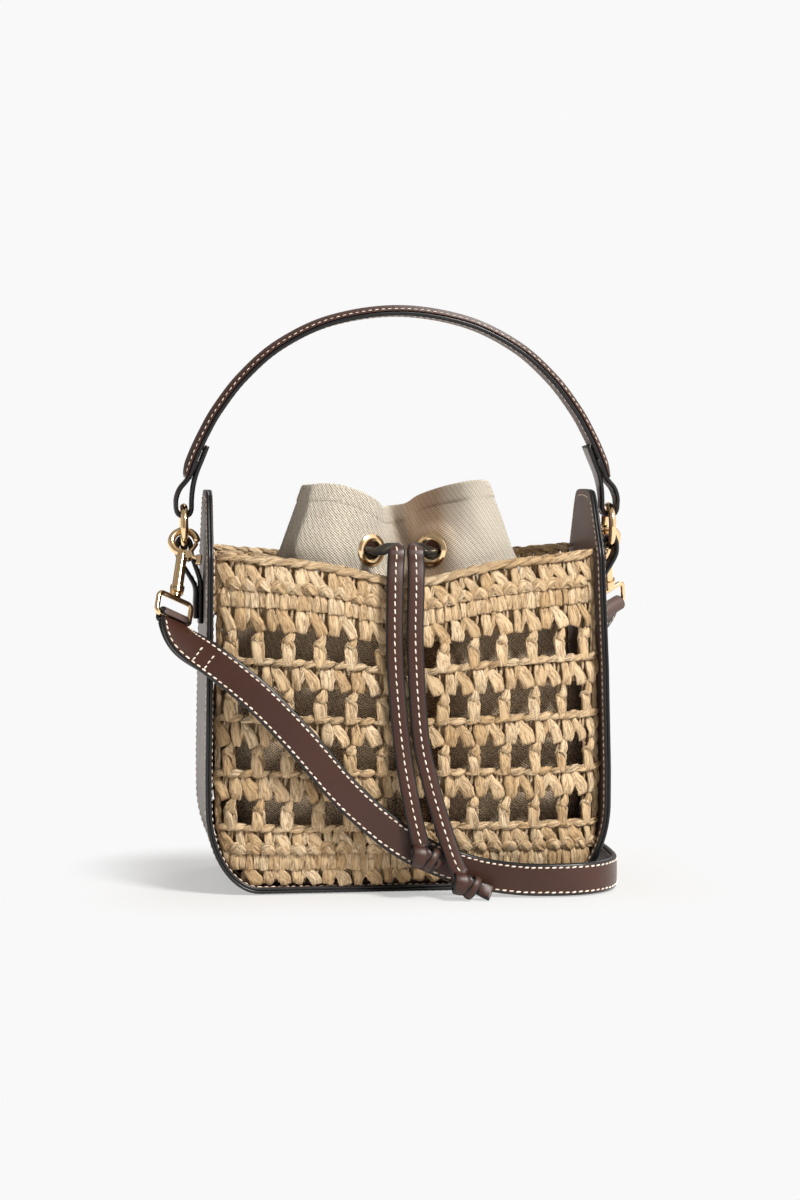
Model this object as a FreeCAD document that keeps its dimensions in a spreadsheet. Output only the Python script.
import FreeCAD, Part
import math
import os
import Sketcher
from FreeCAD import Vector

# Small bucket bag: a leather gusset with crocheted front and back, a canvas drawstring pouch,
# a handle on two rings and a shoulder strap on two snap hooks.
# Origin: centre of the base on the ground. X runs across (left is -X), Y is depth (front is -Y),
# Z is up. Millimetres and degrees.

DIMENSIONS = dict(
    # gusset outline, seen from the front and from the side
    half_width=101.2, tab_half_width=98.7, tab_top=198.0, corner_w=27.0, corner_h=43.0,
    base_half_depth=50.0, rim_half_depth=41.7, rim_height=166.5, tab_half_depth=20.8,
    # sheet materials
    outer_leather=1.6, lining_leather=1.4, panel_thick=5.0, panel_bulge=13.5, canvas=1.2,
    # base stiffener
    stiff_long=138.0, stiff_deep=84.0, stiff_thick=1.8, stiff_low=3.15, stiff_round=12.0,
    # rings
    ring_radius=10.3, ring_wire=1.9, ring_side=109.2, ring_height=179.3,
    # straps, handle and chapes
    strap_wide=16.0, strap_thick=3.6, handle_thick=2.4, cover_edge=1.3, cover_crown=1.7,
    handle_top=287.5, loop_inner=2.7, chape_inner=2.3, chape_wide=14.0,
    # drawstring and eyelets
    lace_wide=8.5, lace_thick=2.2, lace_folded=5.7,
    eyelet_outer=8.25, eyelet_bore=4.75, eyelet_barrel=5.1, eyelet_turn=30.0,
    left_eyelet_side=-17.5, right_eyelet_side=13.1, eyelet_height=168.6, eyelet_front=31.6,
    # snap hooks
    claw_radius=6.4, claw_rod=1.8, barrel_radius=2.8, stem_radius=1.5,
    pin_radius=0.7, pin_long=4.6, hook_tilt=30.0, hook_lean=9.0,
    eye_turn=35.0, eye_rod=1.3, eye_inner_wide=17.4,
)

doc = FreeCAD.newDocument("bucket_bag")
sheet = doc.addObject("Spreadsheet::Sheet", "dims")
for row, (alias, value) in enumerate(DIMENSIONS.items(), 1):
    sheet.set("A%d" % row, alias)
    sheet.set("B%d" % row, str(value))
    sheet.setAlias("B%d" % row, alias)
doc.recompute()
dim = {alias: float(sheet.get(alias)) for alias in DIMENSIONS}

ORIGIN = Vector(0, 0, 0)
X_AXIS = Vector(1, 0, 0)
Y_AXIS = Vector(0, 1, 0)
Z_AXIS = Vector(0, 0, 1)
SIDES = (("left", -1), ("right", 1))

pieces = []


# ---- Document helpers ----

def add_piece(label, shape):
    piece = doc.addObject("Part::Feature", label)
    piece.Shape = shape
    piece.Label = label
    pieces.append(piece)
    return piece


def bind(item, prop, alias):
    """Set a property and drive it from the spreadsheet."""
    setattr(item, prop, dim[alias])
    item.setExpression(prop, "dims." + alias)


def add_primitive(kind, label, placement, **aliases):
    piece = doc.addObject(kind, label)
    for prop, alias in aliases.items():
        bind(piece, prop, alias)
    piece.Label = label
    piece.Placement = placement
    pieces.append(piece)


def new_outline(body, name, role, points):
    """A sketch on one of the body's origin planes holding a closed outline of lines."""
    plane = [item for item in body.Origin.OriginFeatures if item.Role == role][0]
    sketch = body.newObject("Sketcher::SketchObject", name)
    sketch.AttachmentSupport = (plane, [""])
    sketch.MapMode = "FlatFace"
    count = len(points)
    for k in range(count):
        start = Vector(*points[k], 0)
        end = Vector(*points[(k + 1) % count], 0)
        sketch.addGeometry(Part.LineSegment(start, end), False)
    for k in range(count):
        sketch.addConstraint(Sketcher.Constraint("Coincident", k, 2, (k + 1) % count, 1))
    return sketch


def add_revolved(label, points, placement):
    """A body turned about its own Z from a closed (radius, height) outline."""
    body = doc.addObject("PartDesign::Body", label + "_body")
    outline = new_outline(body, label + "_outline", "XZ_Plane", points)
    turn = body.newObject("PartDesign::Revolution", label + "_turn")
    turn.Profile = outline
    turn.ReferenceAxis = (outline, ["V_Axis"])
    turn.Angle = 360
    doc.recompute()
    body.Label = label
    body.Placement = placement
    pieces.append(body)


# ---- Shape helpers ----

def single_solid(shape):
    """The one solid of a boolean result, cleaned; loose crumbs under 2 % are dropped."""
    solids = sorted(shape.removeSplitter().Solids, key=lambda solid: -solid.Volume)
    if sum(solid.Volume for solid in solids[1:]) > 0.02 * solids[0].Volume:
        raise RuntimeError("more than one solid: %s" % [round(s.Volume, 2) for s in solids])
    return solids[0]


def interpolate(table, key):
    """Straight-line interpolation in a table of (key, value), held constant beyond its ends."""
    if key <= table[0][0]:
        return table[0][1]
    for (low, at_low), (high, at_high) in zip(table, table[1:]):
        if key <= high:
            return at_low + (at_high - at_low) * (key - low) / (high - low)
    return table[-1][1]


def spline(points, **options):
    curve = Part.BSplineCurve()
    curve.interpolate(points, **options)
    return curve.toShape()


def in_xz(pairs, side=1):
    """Points of the XZ plane from (x, z) pairs; side -1 mirrors them to the left."""
    return [Vector(side * x, 0, z) for x, z in pairs]


def centred_slab(edges, depth):
    """A closed outline in the XZ plane, run evenly to the front and the back."""
    slab = Part.Face(Part.Wire(edges)).extrude(Vector(0, depth, 0))
    slab.translate(Vector(0, -depth / 2, 0))
    return slab


def z_cylinder(radius, low, high):
    return Part.makeCylinder(radius, high - low, Vector(0, 0, low))


def sample_path(points, count):
    """(place, tangent, parameter) at even steps of a spline, and the parameters of its points."""
    points = [Vector(*point) for point in points]
    curve = Part.BSplineCurve()
    curve.interpolate(points)
    first, last = curve.FirstParameter, curve.LastParameter
    samples = []
    for k in range(count):
        parameter = first + (last - first) * k / (count - 1)
        samples.append((curve.value(parameter), curve.tangent(parameter)[0], parameter))
    return samples, [curve.parameter(point) for point in points]


def ribbon(points, across, width, thick, count, ruled=False):
    """A rectangle lofted along a spline; across is its width direction, one or one per point."""
    if isinstance(across, Vector):
        across = [across] * len(points)
    across = [Vector(*direction) for direction in across]
    samples, keys = sample_path(points, count)
    sections = []
    for place, tangent, parameter in samples:
        sideways = across[-1]
        for k in range(len(keys) - 1):
            if parameter <= keys[k + 1]:
                share = (parameter - keys[k]) / (keys[k + 1] - keys[k])
                sideways = across[k] * (1 - share) + across[k + 1] * share
                break
        sideways = sideways - tangent * sideways.dot(tangent)
        sideways.normalize()
        normal = tangent.cross(sideways)
        normal.normalize()
        half_w = sideways * (width / 2)
        half_t = normal * (thick / 2)
        corners = [place - half_w - half_t, place + half_w - half_t,
                   place + half_w + half_t, place - half_w + half_t]
        sections.append(Part.makePolygon(corners + [corners[0]]))
    return Part.makeLoft(sections, True, ruled)


# ---- Gusset: one U-shaped strip of leather with a lining ----

FLAT_END = 58.0    # half length of the straight run of the base
STRAIGHT_Z = 60.0  # height where the upright starts to lean inwards
UPRIGHT_HEIGHTS = (STRAIGHT_Z, 80.0, 100.0, 125.0, 150.0, 175.0, dim["tab_top"])
LINING_FACE = dim["outer_leather"] + dim["lining_leather"]

# (height, half depth) of the gusset
HALF_DEPTHS = [
    (0, dim["base_half_depth"]), (60, dim["base_half_depth"]),
    (110, dim["base_half_depth"] - 1.5), (dim["rim_height"], dim["rim_half_depth"]),
    (dim["tab_top"], dim["tab_half_depth"]),
]
SIDE_HEIGHTS = (-1.0, 60.0, 85.0, 110.0, 140.0, dim["rim_height"], 180.0, 190.0)
# (half depth, height) of the rounded tab end
TAB_END = [(22.2, 194.2), (19.4, 196.6), (15.2, 197.9), (8.0, 198.3)]


def side_x(z):
    """Outer face of the gusset's upright at height z."""
    lean = dim["half_width"] - dim["tab_half_width"]
    return dim["half_width"] - lean * max(0.0, z - STRAIGHT_Z) / (dim["tab_top"] - STRAIGHT_Z)


def half_depth(z):
    return interpolate(HALF_DEPTHS, z)


def half_u(inset):
    """(x, z) of the right half of the U, from the flat base to the tab top, moved inwards."""
    outline = [(FLAT_END, 0.0)]
    for k in range(13):
        angle = math.radians(90.0 * k / 12.0)
        outline.append((dim["half_width"] - dim["corner_w"] * (1 - math.sin(angle)),
                        dim["corner_h"] * (1 - math.cos(angle))))
    outline += [(side_x(z), z) for z in UPRIGHT_HEIGHTS]
    moved = []
    for k, (x, z) in enumerate(outline):
        before = outline[max(0, k - 1)]
        after = outline[min(len(outline) - 1, k + 1)]
        run, rise = after[0] - before[0], after[1] - before[1]
        length = math.hypot(run, rise)
        moved.append((x - rise / length * inset, z + run / length * inset))
    return moved


def u_curve(inset, top=math.inf):
    """Edges and points of the whole U from left to right, using only points below top."""
    right = in_xz([(x, z) for x, z in half_u(inset) if z < top])
    left = [Vector(-point.x, 0, point.z) for point in reversed(right)]
    up = (right[-1] - right[-2]).normalize()
    down = Vector(up.x, 0, -up.z)
    edges = [
        spline(left, InitialTangent=down, FinalTangent=X_AXIS),
        Part.makeLine(left[-1], right[0]),
        spline(right, InitialTangent=X_AXIS, FinalTangent=up),
    ]
    return edges, left + right


def depth_prism():
    """Side outline of the gusset, run across more than the whole width."""
    half = [(half_depth(z), z) for z in SIDE_HEIGHTS] + TAB_END
    points = [Vector(-150, -y, z) for y, z in half]
    points += [Vector(-150, y, z) for y, z in reversed(half)]
    return Part.Face(Part.makePolygon(points + [points[0]])).extrude(Vector(300, 0, 0))


def gusset_layer(outer_inset, inner_inset):
    outer_edges, outer_points = u_curve(outer_inset)
    inner_edges, inner_points = u_curve(inner_inset)
    right_end = Part.makeLine(outer_points[-1], inner_points[-1])
    left_end = Part.makeLine(inner_points[0], outer_points[0])
    outline = outer_edges + [right_end] + inner_edges[::-1] + [left_end]
    return single_solid(centred_slab(outline, 140).common(depth_prism()))


def build_gusset():
    add_piece("gusset_outer", gusset_layer(0.0, dim["outer_leather"]))
    add_piece("gusset_lining", gusset_layer(dim["outer_leather"], LINING_FACE))


# ---- Stiffener board lying on the lining inside the base ----

def build_stiffener():
    body = doc.addObject("PartDesign::Body", "base_stiffener_body")
    half_x, half_y = dim["stiff_long"] / 2, dim["stiff_deep"] / 2
    corners = [(-half_x, -half_y), (half_x, -half_y), (half_x, half_y), (-half_x, half_y)]
    sketch = new_outline(body, "stiffener_outline", "XY_Plane", corners)
    sketch.AttachmentOffset = FreeCAD.Placement(
        Vector(0, 0, dim["stiff_low"]), FreeCAD.Rotation())
    for k, kind in enumerate(("Horizontal", "Vertical", "Horizontal", "Vertical")):
        sketch.addConstraint(Sketcher.Constraint(kind, k))
    sketch.addConstraint(Sketcher.Constraint("Symmetric", 0, 1, 1, 2, -1, 1))
    for kind, line, alias in (("DistanceX", 0, "stiff_long"), ("DistanceY", 1, "stiff_deep")):
        index = sketch.addConstraint(Sketcher.Constraint(kind, line, 1, line, 2, dim[alias]))
        sketch.setExpression("Constraints[%d]" % index, "dims." + alias)
    sketch.setExpression(".AttachmentOffset.Base.z", "dims.stiff_low")
    pad = body.newObject("PartDesign::Pad", "stiffener_pad")
    pad.Profile = sketch
    bind(pad, "Length", "stiff_thick")
    doc.recompute()
    uprights = ["Edge%d" % (k + 1) for k, edge in enumerate(pad.Shape.Edges)
                if abs(edge.Vertexes[0].Point.z - edge.Vertexes[-1].Point.z) > 0.5]
    fillet = body.newObject("PartDesign::Fillet", "stiffener_corners")
    fillet.Base = (pad, uprights)
    bind(fillet, "Radius", "stiff_round")
    body.Label = "base_stiffener"
    pieces.append(body)


# ---- Crocheted front and back: bulging sheets cut to the U and to a sagging rim ----

RIM_HALF_WIDTH = 98.5
PANEL_GAP = 0.4      # between the lining and the panel's edge
PANEL_U_TOP = 158.0  # the panel's U stops below this height
# (height, share of the full bulge)
BULGE = [(0, 0.22), (12, 0.45), (30, 0.75), (60, 0.96), (85, 1.0), (115, 0.98), (140, 0.88),
         (160, 0.74), (185, 0.6)]
PANEL_GRID_X = (-104, -96, -86, -72, -56, -38, -19, 0, 19, 38, 56, 72, 86, 96, 104)
PANEL_GRID_Z = (-6, 4, 16, 32, 50, 70, 92, 115, 136, 155, 175)


def panel_y(x, z, share):
    """Distance of the panel's outer face from the middle plane."""
    across = min(1.0, abs(x) / RIM_HALF_WIDTH)
    bulge = share * dim["panel_bulge"] * interpolate(BULGE, z) * (1 - across ** 2.6)
    return half_depth(min(z, dim["rim_height"])) - 2.5 + bulge


def rim_z(x, sag):
    return 160.5 + 5.5 * (x / RIM_HALF_WIDTH) ** 2 - sag * math.exp(-(x / 30.0) ** 2)


def panel(sign, sag, share):
    """sign -1 is the front, +1 the back; sag is the rim's dip, share scales the bulge."""
    surface = Part.BSplineSurface()
    surface.interpolate([[Vector(x, sign * panel_y(x, z, share), z) for z in PANEL_GRID_Z]
                         for x in PANEL_GRID_X])
    crochet = surface.toShape().extrude(Vector(0, -sign * dim["panel_thick"], 0))
    edges, points = u_curve(LINING_FACE + PANEL_GAP, PANEL_U_TOP)
    rim = [Vector(points[-1].x * k / 12.0, 0, rim_z(RIM_HALF_WIDTH * k / 12.0, sag))
           for k in range(12, -13, -1)]
    outline = Part.Wire(edges + [Part.makeLine(points[-1], rim[0]), spline(rim),
                                 Part.makeLine(rim[-1], points[0])])
    prism = Part.Face(outline).extrude(Vector(0, sign * 120, 0))
    return single_solid(prism.common(crochet))


def build_panels():
    add_piece("front_panel", panel(sign=-1, sag=8.5, share=1.0))
    add_piece("back_panel", panel(sign=1, sag=3.0, share=0.85))


# ---- Canvas pouch: hollow, open at the top, pinched at the front between the eyelets ----

# (height, half width, half depth, depth of the front pinch)
POUCH = [
    (6.0, 66.0, 38.0, 0.0), (13.0, 80.0, 43.0, 0.0), (30.0, 91.0, 46.0, 0.0),
    (60.0, 95.0, 48.0, 0.0), (95.0, 93.0, 48.0, 0.0), (125.0, 84.0, 45.0, 1.0),
    (145.0, 72.0, 41.0, 5.0), (158.0, 61.5, 38.5, 8.5), (168.6, 55.0, 37.0, 11.0),
    (180.0, 51.0, 35.0, 12.5), (192.0, 47.5, 33.0, 13.5), (206.0, 43.5, 31.0, 14.0),
]
# (x, z) of the wavy mouth, seen from the front
MOUTH = [
    (-70, 186), (-58, 193), (-48, 200.0), (-38, 201.5), (-27, 199.5), (-17, 194.5),
    (-8, 191.0), (3, 190.2), (12, 192.8), (22, 198.0), (32, 201.5), (41, 202.5),
    (52, 197), (62, 188), (72, 180),
]
PINCH_X = -2.2
PINCH_SPREAD = 17.0
RING_POINTS = 40
ROUNDNESS = 2 / 2.5  # exponent of the superellipse


def pouch_ring(z, half_x, half_y, pinch, inset):
    """Closed section of the pouch, moved inwards by inset."""
    ring = []
    for k in range(RING_POINTS):
        angle = 2 * math.pi * (k + 0.5) / RING_POINTS
        cosine, sine = math.cos(angle), math.sin(angle)
        x = half_x * math.copysign(abs(cosine) ** ROUNDNESS, cosine)
        y = half_y * math.copysign(abs(sine) ** ROUNDNESS, sine)
        if sine < 0:
            y += pinch * math.exp(-((x - PINCH_X) / PINCH_SPREAD) ** 2)
        ring.append((x, y))
    moved = []
    for k, (x, y) in enumerate(ring):
        before, after = ring[k - 1], ring[(k + 1) % RING_POINTS]
        step_x, step_y = after[0] - before[0], after[1] - before[1]
        length = math.hypot(step_x, step_y)
        moved.append(Vector(x - step_y / length * inset, y + step_x / length * inset, z))
    return Part.Wire([spline(moved, PeriodicFlag=True)])


def eyelet_placement(side):
    """Local +Z is the outward axis, turned from -Y towards the middle; z = 0 is mid canvas."""
    turn = math.radians(dim["eyelet_turn"] * (1 if side == "left" else -1))
    outward = Vector(math.sin(turn), -math.cos(turn), 0)
    sideways = Vector(math.cos(turn), math.sin(turn), 0)
    place = Vector(dim[side + "_eyelet_side"], -dim["eyelet_front"], dim["eyelet_height"])
    return FreeCAD.Placement(place, FreeCAD.Rotation(sideways, Z_AXIS, outward, "ZXY"))


def build_pouch():
    canvas = dim["canvas"]
    outer = Part.makeLoft([pouch_ring(*row, 0.0) for row in POUCH], True, False)
    floor = (POUCH[0][0] + canvas,) + POUCH[0][1:]
    hollow = [pouch_ring(*row, canvas) for row in [floor] + POUCH[1:]]
    inner = Part.makeLoft(hollow, True, False)
    mouth = in_xz(MOUTH)
    frame = in_xz([MOUTH[-1], (MOUTH[-1][0], 230), (MOUTH[0][0], 230), MOUTH[0]])
    above = centred_slab(
        [spline(mouth)] + [Part.makeLine(a, b) for a, b in zip(frame, frame[1:])], 160)
    shell = outer.cut(inner).cut(above)
    # flat seats in front of and behind the canvas, and a hole for the eyelet's barrel
    seat_radius, seat_height, reach = dim["eyelet_outer"] + 0.2, 0.62, 9.0
    for side, _ in SIDES:
        seat = z_cylinder(seat_radius, seat_height, reach)
        seat = seat.fuse(z_cylinder(seat_radius, -reach, -seat_height))
        seat = seat.fuse(z_cylinder(dim["eyelet_barrel"] + 0.15, -reach, reach))
        seat.Placement = eyelet_placement(side)
        shell = shell.cut(seat)
    add_piece("pouch", single_solid(shell))


def build_eyelets():
    outer, bore, barrel = dim["eyelet_outer"], dim["eyelet_bore"], dim["eyelet_barrel"]
    # (radius, height) outlines
    eyelet = [(bore, -1.7), (bore, 1.3), (bore + 0.5, 1.75), (bore + 1.4, 2.0),
              (outer - 1.2, 1.7), (outer - 0.2, 1.1), (outer, 0.7), (barrel, 0.7),
              (barrel, -1.7)]
    washer = [(barrel + 0.08, -1.3), (barrel + 0.08, -0.7), (outer - 0.3, -0.7),
              (outer - 0.3, -1.0), (outer - 1.2, -1.3)]
    for side, _ in SIDES:
        placement = eyelet_placement(side)
        add_revolved(side + "_eyelet", eyelet, placement)
        add_revolved(side + "_eyelet_washer", washer, placement)


# ---- Rings, standing in planes across X ----

RING_X, RING_Z = dim["ring_side"], dim["ring_height"]
RING_RADIUS = dim["ring_radius"]


def build_rings():
    for name, side in SIDES:
        placement = FreeCAD.Placement(
            Vector(side * RING_X, 0, RING_Z), FreeCAD.Rotation(Y_AXIS, 90))
        add_primitive("Part::Torus", name + "_ring", placement,
                      Radius1="ring_radius", Radius2="ring_wire")


def half_tube(x, inner, thick, end, half_angle):
    """Leather bent round the ring's wire on the ring's inner side, curved with the ring.
    end +1 is the ring's top wire, -1 its bottom wire."""
    z = RING_Z + end * RING_RADIUS
    outer = inner + thick
    outer_arc = Part.Arc(*in_xz([(x - outer, z), (x, z - end * outer), (x + outer, z)]))
    inner_arc = Part.Arc(*in_xz([(x + inner, z), (x, z - end * inner), (x - inner, z)]))
    face = Part.Face(Part.Wire([
        outer_arc.toShape(),
        Part.makeLine(Vector(x + outer, 0, z), Vector(x + inner, 0, z)),
        inner_arc.toShape(),
        Part.makeLine(Vector(x - inner, 0, z), Vector(x - outer, 0, z)),
    ]))
    ring_centre = Vector(x, 0, RING_Z)
    face.rotate(ring_centre, X_AXIS, -half_angle)
    return face.revolve(ring_centre, X_AXIS, 2 * half_angle)


# ---- Chapes: a folded strip round each ring's lower wire, down the gusset's outer face ----

def build_chapes():
    thick, width = dim["handle_thick"], dim["chape_wide"]
    bend = dim["chape_inner"] + thick / 2
    start_z = RING_Z - RING_RADIUS + 0.6
    # (x, z) of the layer against the gusset and of the layer over it
    inner_strip = [
        (RING_X - bend, start_z), (RING_X - bend - 0.1, 165.5), (RING_X - bend - 1.6, 160.5),
        (side_x(153) + thick / 2 + 0.45, 153.5), (side_x(146) + thick / 2 + 0.2, 147.0),
        (side_x(138) + thick / 2 + 0.2, 139.0), (side_x(131) + thick / 2 + 0.2, 131.0),
    ]
    outer_strip = [
        (RING_X + bend, start_z), (RING_X + bend - 0.3, 165.0), (RING_X + bend - 3.0, 160.2),
        (RING_X - 2.6, 155.2), (side_x(149) + 1.5 * thick + 0.45, 148.5),
        (side_x(141) + 1.5 * thick + 0.15, 141.0), (side_x(134) + 1.5 * thick + 0.15, 134.0),
    ]
    chape = half_tube(RING_X, dim["chape_inner"], thick, end=-1, half_angle=37.0)
    for strip in (inner_strip, outer_strip):
        chape = chape.fuse(ribbon(in_xz(strip), Y_AXIS, width, thick, 16))
    ring_room = Part.makeTorus(
        RING_RADIUS, dim["ring_wire"] + 0.25, Vector(RING_X, 0, RING_Z), X_AXIS)
    chape = chape.cut(ring_room)
    # everything inside the gusset's outer face, with a hair of clearance
    edges, points = u_curve(-0.06)
    inside = centred_slab(edges + [Part.makeLine(points[-1], points[0])], 60)
    chape = single_solid(chape.cut(inside))
    add_piece("right_chape", chape)
    left = chape.copy()
    left.rotate(ORIGIN, Z_AXIS, 180)
    add_piece("left_chape", single_solid(left))


# ---- Handle: an arched strip looped round both rings, with a domed cover on top ----

# (x, z) up the right side of the arch
ARCH_SIDE = [
    (RING_X - 2.4, 204.0), (RING_X - 6.4, 215.0), (97.4, 226.5), (90.8, 238.0),
    (78.4, 254.0), (60.0, 270.0), (34.0, 282.4),
]
ARCH = (in_xz(ARCH_SIDE, -1) + [Vector(0, 0, dim["handle_top"])]
        + in_xz(reversed(ARCH_SIDE)))
LEG_WIDTH = 14.0
COVER_GAP = 0.02


def handle_strip():
    thick = dim["handle_thick"]
    bend = dim["loop_inner"] + thick / 2
    start_z = RING_Z + RING_RADIUS - 0.6
    # (x, z) up each side of the ring's upper wire
    outer_leg = [
        (RING_X + bend, start_z), (RING_X + bend - 0.2, 193.5), (RING_X + 1.5, 199.0),
        (RING_X - 2.4, 204.0), (RING_X - 4.4, 209.0),
    ]
    inner_leg = [
        (RING_X - bend, start_z), (RING_X - bend - 0.3, 196.0), (RING_X - bend - 1.0, 202.5),
        (RING_X - 8.6, 213.6), (RING_X - 9.4, 218.5),
    ]
    strip = ribbon(ARCH, Y_AXIS, dim["strap_wide"], thick, 42)
    for _, side in SIDES:
        outer, inner = [ribbon(in_xz(leg, side), Y_AXIS, LEG_WIDTH, thick, 14)
                        for leg in (outer_leg, inner_leg)]
        tube = half_tube(side * RING_X, dim["loop_inner"], thick, end=1, half_angle=36.0)
        strip = strip.fuse(tube).fuse(outer.fuse(inner))
    return single_solid(strip)


def handle_cover():
    samples, _ = sample_path(ARCH, 61)
    half_w = Y_AXIS * (dim["strap_wide"] / 2)
    sections = []
    for place, tangent, _ in samples[1:-1]:
        normal = tangent.cross(Y_AXIS)
        normal.normalize()
        base = place + normal * (dim["handle_thick"] / 2 + COVER_GAP)
        edge = base + normal * dim["cover_edge"]
        crown = base + normal * (dim["cover_edge"] + dim["cover_crown"])
        sections.append(Part.Wire([
            Part.makeLine(base - half_w, base + half_w),
            Part.makeLine(base + half_w, edge + half_w),
            Part.Arc(edge + half_w, crown, edge - half_w).toShape(),
            Part.makeLine(edge - half_w, base - half_w),
        ]))
    return single_solid(Part.makeLoft(sections, True, False))


def build_handle():
    strip = handle_strip()
    cover = handle_cover()
    add_piece("handle_strap", single_solid(strip.cut(cover)))
    add_piece("handle_cover", cover)


# ---- Snap hooks ----
# Local frame: origin at the claw's centre, +Z from the strap to the claw, claw in the XZ
# plane, mouth on +X.

CLAW_START, CLAW_END = 22.0, 262.0  # degrees from +X towards +Z
CLAW_RADIUS, CLAW_ROD = dim["claw_radius"], dim["claw_rod"]
CLAW_TIP = Vector(CLAW_RADIUS * math.cos(math.radians(CLAW_START)), 0,
                  CLAW_RADIUS * math.sin(math.radians(CLAW_START)))
PIN_X, PIN_Z = 2.9, -7.7
PIN_CENTRE = Vector(PIN_X, 0, PIN_Z)
EYE_TOP, EYE_BOTTOM = -32.2, -43.6  # centre lines of the eye's two bars
RING_ANGLE = 55.0  # where the hook holds its ring, from the ring's bottom to the front
HOOK_SETBACK = 1.2


def claw_arc(rod, start, end):
    """Round rod of the given radius along the claw's circle."""
    circle = Part.makeCircle(rod, Vector(CLAW_RADIUS, 0, 0), Z_AXIS)
    face = Part.Face(Part.Wire([circle]))
    face.rotate(ORIGIN, Y_AXIS, -start)
    return face.revolve(ORIGIN, Y_AXIS, -(end - start))


def on_pin(radius, length):
    """Cylinder round the gate pin's axis, centred on the claw's plane."""
    return Part.makeCylinder(radius, length, Vector(PIN_X, -length / 2, PIN_Z), Y_AXIS)


def hook_body():
    barrel_radius = dim["barrel_radius"]
    barrel = z_cylinder(barrel_radius, -25.5, -8.0)
    barrel = barrel.fuse(Part.makeSphere(barrel_radius, Vector(0, 0, -8.0)))
    collar = z_cylinder(3.6, -27.2, -25.5).fuse(z_cylinder(2.5, -27.2, -25.3))
    hook = claw_arc(CLAW_ROD, CLAW_START, CLAW_END).fuse(Part.makeSphere(CLAW_ROD, CLAW_TIP))
    hook = hook.fuse(barrel).fuse(collar)
    # neck between the claw and the barrel
    neck_top, neck_foot, neck_radius = Vector(-0.9, 0, -6.3), Vector(0, 0, -9), 2.0
    run = neck_foot - neck_top
    neck = Part.makeCylinder(neck_radius, run.Length, neck_top, run)
    neck = neck.fuse(Part.makeSphere(neck_radius, neck_top))
    neck = neck.fuse(Part.makeSphere(neck_radius, neck_foot))
    hook = hook.fuse(neck)
    # ears for the gate pin on the mouth side, slotted for the gate
    pin_long = dim["pin_long"]
    ear_block = Part.makeBox(3.0, pin_long, 4.0, Vector(0.0, -pin_long / 2, PIN_Z - 2.1))
    hook = hook.fuse(on_pin(2.1, pin_long).fuse(ear_block))
    slot = Part.makeBox(9.0, 2.5, 12.5, Vector(0.6, -1.25, PIN_Z - 8.2))
    hook = hook.cut(slot.common(on_pin(8.2, 10)))
    hook = hook.cut(on_pin(dim["pin_radius"], 20))
    return single_solid(hook.cut(z_cylinder(dim["stem_radius"] + 0.06, -27.6, -15.6)))


def hook_gate():
    """Hub on the pin, bar up to the claw's tip, thumb lever outwards."""
    bar_radius = 1.05
    end = CLAW_TIP + Vector(0.15, 0, -CLAW_ROD - bar_radius)
    run = end - PIN_CENTRE
    gate = on_pin(1.9, 2.2).fuse(Part.makeCylinder(bar_radius, run.Length, PIN_CENTRE, run))
    gate = gate.fuse(Part.makeSphere(bar_radius, end))
    lever = Part.makeCylinder(
        0.95, 3.6, PIN_CENTRE + Vector(1.2, 0, 0.6), Vector(0.86, 0, -0.25))
    thumb = Part.makeBox(3.0, 2.2, 5.4, PIN_CENTRE + Vector(4.2, -1.1, -3.9))
    thumb = thumb.makeFillet(0.7, thumb.Edges)
    gate = gate.fuse(lever).fuse(thumb)
    gate = gate.cut(on_pin(dim["pin_radius"] + 0.06, 20))
    # the gate's end is hollowed along the way it swings past the claw's tip
    room = CLAW_ROD + 0.14
    for swing in (0.0, 1.5, 3.0, 4.5, 6.0, 7.5, 9.0, 10.5, 12.5):
        passing = Part.makeSphere(room, CLAW_TIP).fuse(claw_arc(room, CLAW_START, 70.0))
        passing.rotate(PIN_CENTRE, Y_AXIS, swing)
        gate = gate.cut(passing)
    return single_solid(gate)


def swivel_eye():
    """Stem in the barrel, collar, and an oblong loop for the strap."""
    eye = z_cylinder(dim["stem_radius"], -28.6, -16.3)
    eye = eye.fuse(z_cylinder(3.4, -29.3, -27.4)).fuse(z_cylinder(2.3, -31.2, -29.0))
    rod = dim["eye_rod"]
    half_x = dim["eye_inner_wide"] / 2 + rod
    bend = 2.6
    cut_in = bend * (1 - math.sqrt(0.5))
    top_middle = Vector(0, 0, EYE_TOP)
    here = top_middle
    edges = []
    # corners clockwise from the top right, as signs of x and z
    for right, up in ((1, 1), (1, -1), (-1, -1), (-1, 1)):
        z = EYE_TOP if up > 0 else EYE_BOTTOM
        on_bar = Vector(right * (half_x - bend), 0, z)
        middle = Vector(right * (half_x - cut_in), 0, z - up * cut_in)
        on_side = Vector(right * half_x, 0, z - up * bend)
        start, end = (on_bar, on_side) if right == up else (on_side, on_bar)
        edges += [Part.makeLine(here, start), Part.Arc(start, middle, end).toShape()]
        here = end
    edges.append(Part.makeLine(here, top_middle))
    profile = Part.Wire([Part.makeCircle(rod, top_middle, X_AXIS)])
    loop = Part.Wire(edges).makePipeShell([profile], True, False)
    loop.rotate(ORIGIN, Z_AXIS, dim["eye_turn"])
    return single_solid(eye.fuse(loop))


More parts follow.
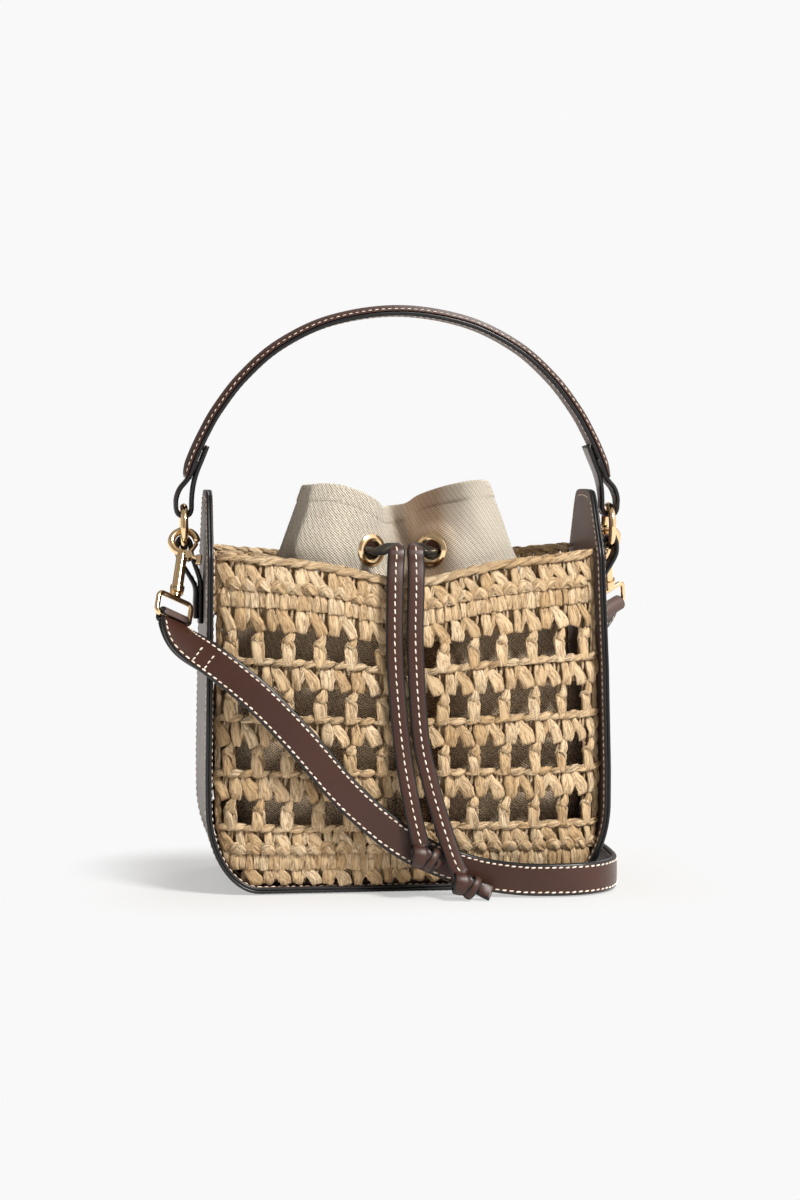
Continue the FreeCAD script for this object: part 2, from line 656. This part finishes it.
def hook_placements():
    """The left hook on the front of its ring; the right one is its half turn about Z."""
    turn = FreeCAD.Rotation(X_AXIS, -dim["hook_tilt"]).multiply(
        FreeCAD.Rotation(Y_AXIS, dim["hook_lean"]))
    angle = math.radians(RING_ANGLE)
    on_wire = Vector(-RING_X, -RING_RADIUS * math.sin(angle),
                     RING_Z - RING_RADIUS * math.cos(angle))
    left = FreeCAD.Placement(on_wire - turn.multVec(Z_AXIS) * HOOK_SETBACK, turn)
    half = FreeCAD.Placement(ORIGIN, FreeCAD.Rotation(Z_AXIS, 180))
    return {"left": left, "right": half.multiply(left)}


HOOK_PLACEMENTS = hook_placements()


def build_hooks():
    parts = (("hook_body", hook_body()), ("gate", hook_gate()), ("swivel_eye", swivel_eye()))
    pin = FreeCAD.Placement(
        Vector(PIN_X, dim["pin_long"] / 2, PIN_Z), FreeCAD.Rotation(X_AXIS, 90))
    for side, placement in HOOK_PLACEMENTS.items():
        for name, shape in parts:
            add_piece(side + "_" + name, shape).Placement = placement
        add_primitive("Part::Cylinder", side + "_gate_pin", placement.multiply(pin),
                      Radius="pin_radius", Height="pin_long")


# ---- Shoulder strap ----
# From the left hook across the front, along the ground round the right side, along the
# back, then up across the back to the right hook.

UP = (0, 0, 1)
# (place, width direction); the last stretch at the right hook is the first one half turned
STRAP_START = [
    ((-110.5, -46.5, 125.0), (0.80, 0.20, 0.28)),
    ((-99.5, -54.0, 117.3), (0.72, 0.03, 0.64)),
    ((-88.0, -58.0, 108.6), (0.68, 0.0, 0.70)),
]
STRAP_MIDDLE = [
    ((-74.0, -61.5, 96.4), (0.69, 0.0, 0.72)), ((-56.0, -64.5, 77.5), (0.69, 0.0, 0.72)),
    ((-32.0, -66.0, 49.5), (0.69, 0.0, 0.72)), ((-8.0, -65.5, 28.6), (0.60, 0.0, 0.80)),
    ((11.0, -65.0, 18.2), (0.42, 0.0, 0.90)), ((30.6, -67.0, 11.4), (0.25, 0.0, 0.97)),
    ((50.0, -71.0, 8.6), (0.08, 0.0, 1.0)), ((68.0, -73.0, 8.1), UP),
    ((84.0, -70.5, 8.05), UP), ((96.0, -62.0, 8.05), UP), ((103.0, -48.0, 8.05), UP),
    ((105.0, -28.0, 8.05), UP), ((105.2, 0.0, 8.05), UP), ((104.6, 30.0, 8.05), UP),
    ((100.5, 56.0, 8.05), UP), ((88.0, 77.0, 8.05), UP), ((66.0, 88.5, 8.05), UP),
    ((30.0, 92.5, 8.05), UP), ((-10.0, 93.0, 8.05), UP), ((-46.0, 93.0, 8.05), UP),
    ((-64.0, 90.0, 8.05), UP), ((-70.5, 82.5, 8.05), UP), ((-65.0, 75.0, 8.1), UP),
    ((-50.0, 71.5, 9.0), (-0.08, 0.0, 1.0)), ((-30.6, 68.5, 12.0), (-0.25, 0.0, 0.97)),
    ((-11.0, 66.5, 19.0), (-0.42, 0.0, 0.90)), ((8.0, 65.5, 29.2), (-0.60, 0.0, 0.80)),
    ((32.0, 65.0, 50.0), (-0.69, 0.0, 0.72)), ((56.0, 63.0, 77.5), (-0.69, 0.0, 0.72)),
    ((74.0, 61.0, 96.4), (-0.69, 0.0, 0.72)),
]


def eye_bar(placement):
    """Centre and direction of the swivel eye's lower bar."""
    angle = math.radians(dim["eye_turn"])
    direction = Vector(math.cos(angle), math.sin(angle), 0)
    return (placement.multVec(Vector(0, 0, EYE_BOTTOM)),
            placement.Rotation.multVec(direction))


def half_turned(point):
    x, y, z = point
    return Vector(-x, -y, z)


def round_bar(bar, radius, length):
    centre, direction = bar
    return Part.makeCylinder(radius, length, centre - direction * (length / 2), direction)


def build_shoulder_strap():
    width = dim["strap_wide"]
    bars = [eye_bar(placement) for placement in HOOK_PLACEMENTS.values()]
    left_centre, left_direction = bars[0]
    off_bar = left_centre + Vector(3.2, -12.0, -8.6).normalize() * 2.75
    start = [(off_bar, left_direction)] + STRAP_START
    end = [(half_turned(place), half_turned(across)) for place, across in reversed(start)]
    places, across = zip(*(start + STRAP_MIDDLE + end))
    strap = ribbon(places, across, width, dim["strap_thick"], 120, ruled=True)
    # the band ends in a tube round each bar
    inner = dim["eye_rod"] + 0.4
    outer = inner + 2.2
    for bar in bars:
        strap = strap.cut(round_bar(bar, outer - 0.7, width + 6))
    for bar in bars:
        tube = round_bar(bar, outer, width).cut(round_bar(bar, inner, width + 2))
        strap = strap.fuse(tube)
    add_piece("shoulder_strap", single_solid(strap))


# ---- Drawstring: leads through the eyelets, hanging ties with knots, and an inner run ----

# points down each tie, from the bend in front of the bag to the knot
TIES = {
    "left": [
        (-6.9, -50.6, 170.2), (-7.6, -53.4, 163.5), (-8.4, -56.8, 152.0),
        (-9.2, -61.8, 122.0), (-7.9, -63.8, 95.0), (-5.2, -66.0, 68.0),
        (-1.6, -69.4, 45.0), (2.6, -71.4, 26.0),
    ],
    "right": [
        (2.5, -50.6, 170.2), (2.4, -53.4, 163.5), (2.0, -56.8, 152.0),
        (1.0, -61.8, 122.0), (3.4, -65.0, 78.0), (8.0, -68.0, 55.0),
        (13.6, -71.2, 34.5), (20.0, -75.2, 15.0),
    ],
}
# knot centre and its turn about Y
KNOTS = {"left": (Vector(4.6, -73.2, 20.6), 12.0), "right": (Vector(24.6, -77.0, 7.4), 14.0)}
# lead from behind the eyelet to the bend: (towards the middle, backwards) from the eyelet,
# then the width direction's (x, y), y being mirrored on the right
LEAD = [
    (0.0, 18.0, 1, 0), (0.0, 9.0, 1, 0), (0.0, 0.0, 1, 0), (0.0, -3.0, 1, 0),
    (0.2, -5.9, 0.99, 0.12), (2.9, -10.4, 0.82, 0.57), (7.6, -14.8, 0.70, 0.71),
]
# points round the back of the pouch mouth
INNER_RUN = [(x, y, dim["eyelet_height"]) for x, y in (
    (-29.5, -15.5), (-39.0, -9.0), (-46.5, 3.0), (-44.0, 17.0), (-30.0, 27.0), (0.0, 31.0),
    (30.0, 27.0), (44.0, 17.0), (46.5, 3.0), (38.0, -9.0), (25.5, -15.5))]
LACE_WIDE, LACE_THICK = dim["lace_wide"], dim["lace_thick"]


def tie_lead(side, inward):
    """Folded narrow and straight through the eyelet, then easing over onto the bend."""
    eyelet = eyelet_placement(side).Base
    path = [eyelet + Vector(inward * middle, back, 0) for middle, back, _, _ in LEAD]
    across = [(x, y * inward, 0) for _, _, x, y in LEAD]
    lead = ribbon(path, across, dim["lace_folded"], LACE_THICK, 18)
    bend_y = TIES[side][0][1]
    in_front = Part.makeBox(60, 30, 40, Vector(-30, bend_y - 30 + 1.9, 150))
    return single_solid(lead.cut(in_front))


def plain_knot(side):
    centre, turn = KNOTS[side]
    knot = Part.makeBox(14.0, 10.0, 11.5, Vector(-7.0, -5.0, -5.75))
    knot = knot.makeFillet(3.6, knot.Edges)
    knot.rotate(ORIGIN, Y_AXIS, turn)
    knot.translate(centre)
    return knot


def hanging_tie(side, knot):
    tie = ribbon(TIES[side], X_AXIS, LACE_WIDE, LACE_THICK, 26)
    bend = Vector(*TIES[side][0]) - Vector(LACE_WIDE / 2, 0, 0.6)
    tie = tie.fuse(Part.makeCylinder(LACE_THICK / 2 + 0.35, LACE_WIDE, bend, X_AXIS))
    return single_solid(tie.cut(knot))


def knot_tail(centre):
    """Short end of lace lying out to the right of the knot."""
    offsets = ((3, 0, -0.5), (8, -0.6, -1.2), (12.5, -1.0, -2.2))
    path = [centre + Vector(*offset) for offset in offsets]
    return ribbon(path, Vector(0.1, 0, 1), 8.0, 2.2, 6)


def build_drawstring():
    for name, side in SIDES:
        add_piece(name + "_tie_lead", tie_lead(name, -side))
        knot = plain_knot(name)
        add_piece(name + "_tie", hanging_tie(name, knot))
        if name == "right":
            knot = knot.fuse(knot_tail(KNOTS[name][0]))
        add_piece(name + "_knot", single_solid(knot))
    run = ribbon(INNER_RUN, Z_AXIS, LACE_WIDE, LACE_THICK, 34)
    add_piece("drawstring_inner_run", single_solid(run))


# ---- Build, check and export ----

def check_document():
    faults = ["%s %s" % (item.Name, item.State) for item in doc.Objects
              if any(state in ("Invalid", "Error") for state in item.State)]
    for piece in pieces:
        shape = piece.Shape
        if shape.isNull() or not shape.isValid() or len(shape.Solids) != 1:
            faults.append("%s is not one valid solid" % piece.Label)
    if faults:
        raise RuntimeError("; ".join(faults))


build_gusset()
build_stiffener()
build_panels()
build_pouch()
build_eyelets()
build_rings()
build_chapes()
build_handle()
build_hooks()
build_shoulder_strap()
build_drawstring()
doc.recompute()
check_document()

os.makedirs("parts", exist_ok=True)
for piece in pieces:
    piece.Shape.exportStep("parts/%s.step" % piece.Label)
